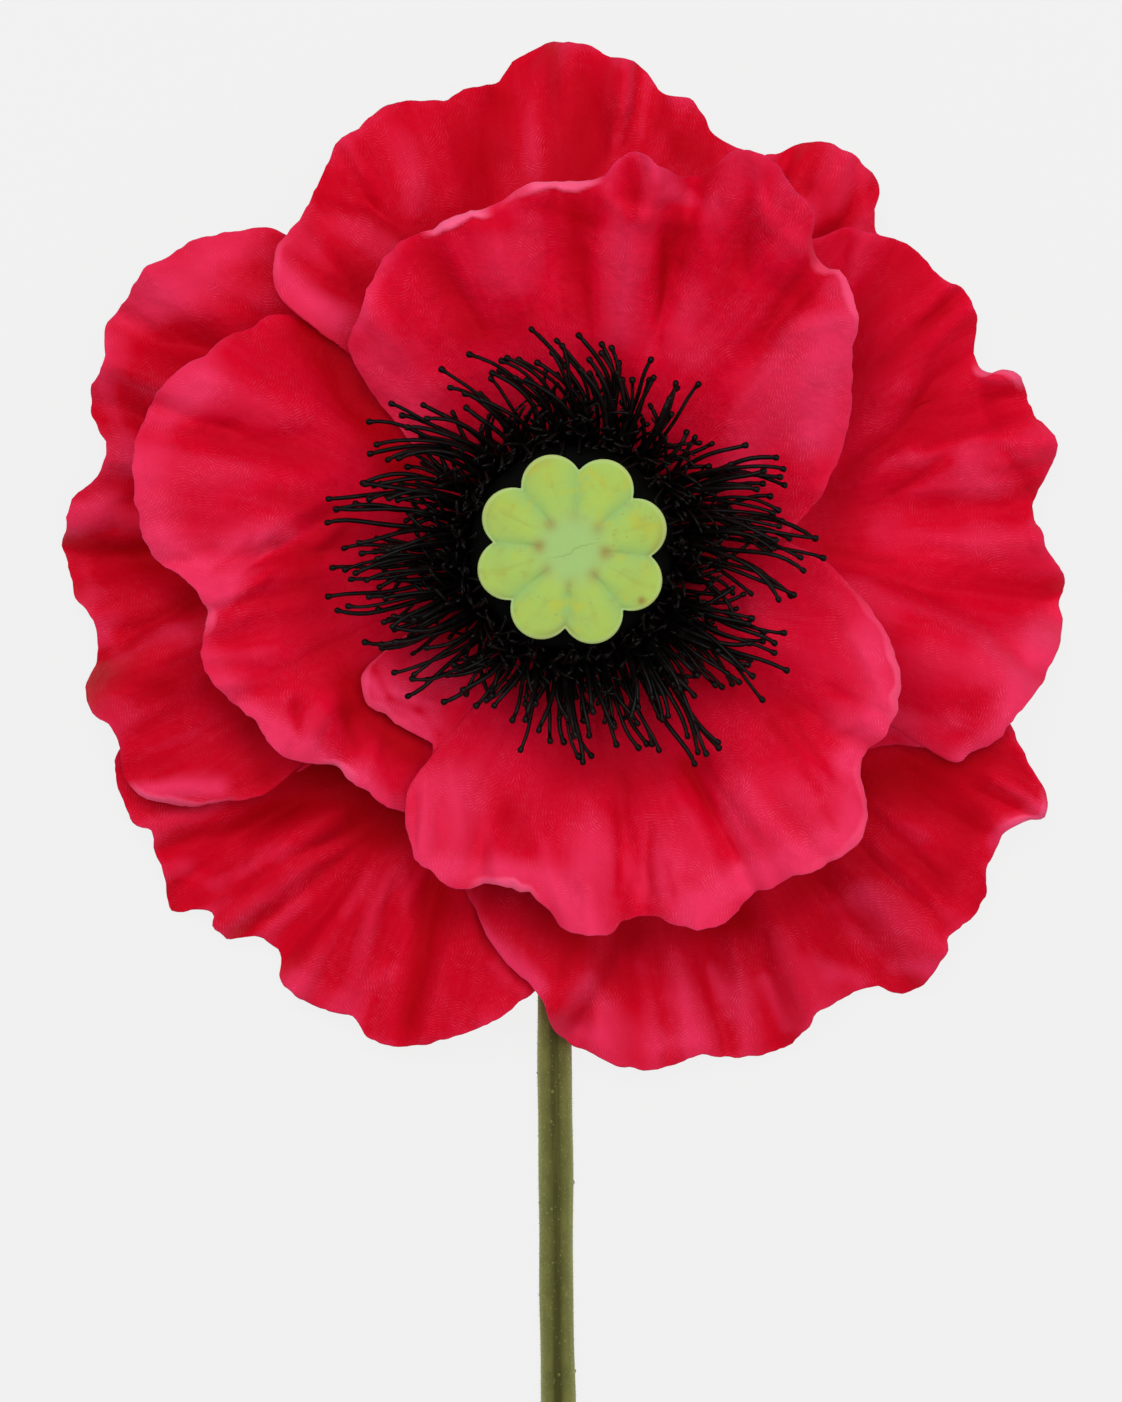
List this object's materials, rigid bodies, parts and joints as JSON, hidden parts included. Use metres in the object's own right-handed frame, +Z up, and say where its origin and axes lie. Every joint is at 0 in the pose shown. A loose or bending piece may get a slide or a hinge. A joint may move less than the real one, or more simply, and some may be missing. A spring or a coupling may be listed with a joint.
{
  "type": "poppy flower",
  "caption": "Cut poppy lying on its back, with ruffled red petals in layers round dark stamens and a lobed green seed capsule, on a bare stem.",
  "frame": {"origin": "middle of the footprint, on the surface that the flower lies on", "axes": "+Z up out of the surface and out of the bloom's face, +Y from the cut end of the stem towards the bloom, +X across the bloom to the right as it faces the viewer"},
  "size_m": [0.1186, 0.2402, 0.0326],
  "materials": {
    "petal": "satin",
    "stamen": "satin",
    "capsule": "satin",
    "stem": "matte"
  },
  "bodies": {
    "root": {"petal_outer_top_right": "petal", "petal_outer_bottom_left": "petal", "petal_outer_bottom_right": "petal", "petal_outer_right": "petal", "petal_outer_left": "petal", "petal_inner_left": "petal", "petal_outer_top": "petal", "petal_inner_bottom": "petal", "petal_inner_top": "petal", "stamens": "stamen", "seed_capsule": "capsule", "stem": "stem"}
  },
  "joints": []
}
